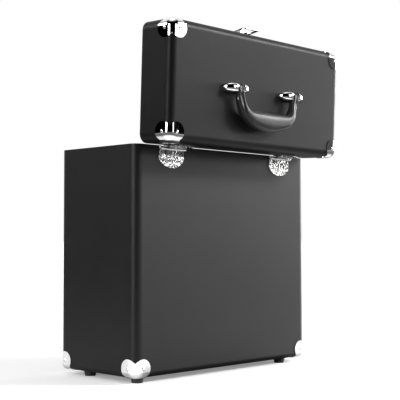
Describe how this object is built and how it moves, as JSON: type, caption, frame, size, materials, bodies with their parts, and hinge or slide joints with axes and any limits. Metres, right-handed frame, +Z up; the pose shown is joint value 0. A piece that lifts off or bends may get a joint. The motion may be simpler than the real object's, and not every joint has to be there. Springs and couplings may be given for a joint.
{
  "type": "record carrying case",
  "caption": "Upright carrying case for 12-inch records: leatherette box on feet, lid on stop hinges, swinging handle, hasp with turn button, chrome corners.",
  "frame": {"origin": "on the floor under the middle of the case's body", "axes": "+Z up; the latch side faces -Y, the hinge side +Y; X runs along the long side"},
  "size_m": [0.3792, 0.2677, 0.5153],
  "materials": {
    "plywood": "bare sheet, hidden by the cover and lining",
    "leatherette": "black fine-grained leatherette, satin",
    "lining": "black flocked lining",
    "rubber": "matt black rubber",
    "steel": "plain bright steel",
    "handle_plastic": "black moulded plastic, leather grain, half gloss",
    "chrome": "polished chrome plate"
  },
  "bodies": {
    "case": {"case_bottom_panel": "plywood", "case_front_panel": "plywood", "case_back_panel": "plywood", "case_left_panel": "plywood", "case_right_panel": "plywood", "case_cover": "leatherette", "case_lining": "lining", "foot_back_right": "rubber", "foot_back_left": "rubber", "foot_front_right": "rubber", "foot_front_left": "rubber", "foot_screws": "steel", "case_corners": "chrome", "case_corner_nails": "chrome", "hinge_case_leaf_right": "chrome", "hinge_case_leaf_left": "chrome", "hinge_pins": "steel", "hinge_case_rivets": "chrome", "latch_keeper": "chrome", "latch_keeper_rivets": "chrome"},
    "lid": {"lid_top_panel": "plywood", "lid_front_panel": "plywood", "lid_back_panel": "plywood", "lid_left_panel": "plywood", "lid_right_panel": "plywood", "lid_cover": "leatherette", "lid_lining": "lining", "lid_corners": "chrome", "lid_corner_nails": "chrome", "hinge_lid_leaf_right": "chrome", "hinge_lid_leaf_left": "chrome", "hinge_lid_rivets": "chrome", "handle_mount_right": "chrome", "handle_mount_left": "chrome", "handle_pin_right": "steel", "handle_pin_left": "steel", "handle_mount_rivets": "chrome", "latch_base": "chrome", "latch_base_rivets": "chrome", "latch_pin": "steel"},
    "handle": {"handle_grip": "handle_plastic", "handle_core": "steel"},
    "hasp": {"latch_hasp": "chrome"},
    "knob": {"latch_knob": "chrome"}
  },
  "joints": [
    {"name": "lid_hinge", "type": "hinge", "parent": "case", "child": "lid", "pos_m": [0, 0.088, 0.32984], "axis": [1, 0, 0], "range_deg": [0, 92.11]},
    {"name": "handle_swing", "type": "hinge", "parent": "lid", "child": "handle", "pos_m": [0, 0.16455, 0.41508], "axis": [1, 0, 0], "range_deg": [-1.9, 176]},
    {"name": "hasp_hinge", "type": "hinge", "parent": "lid", "child": "hasp", "pos_m": [0, 0.10722, 0.50775], "axis": [1, 0, 0], "range_deg": [0, 169.5]},
    {"name": "knob_turn", "type": "hinge", "parent": "case", "child": "knob", "pos_m": [0, -0.0895, 0.324], "axis": [0, 1, 0], "range_deg": [0, 90]}
  ]
}
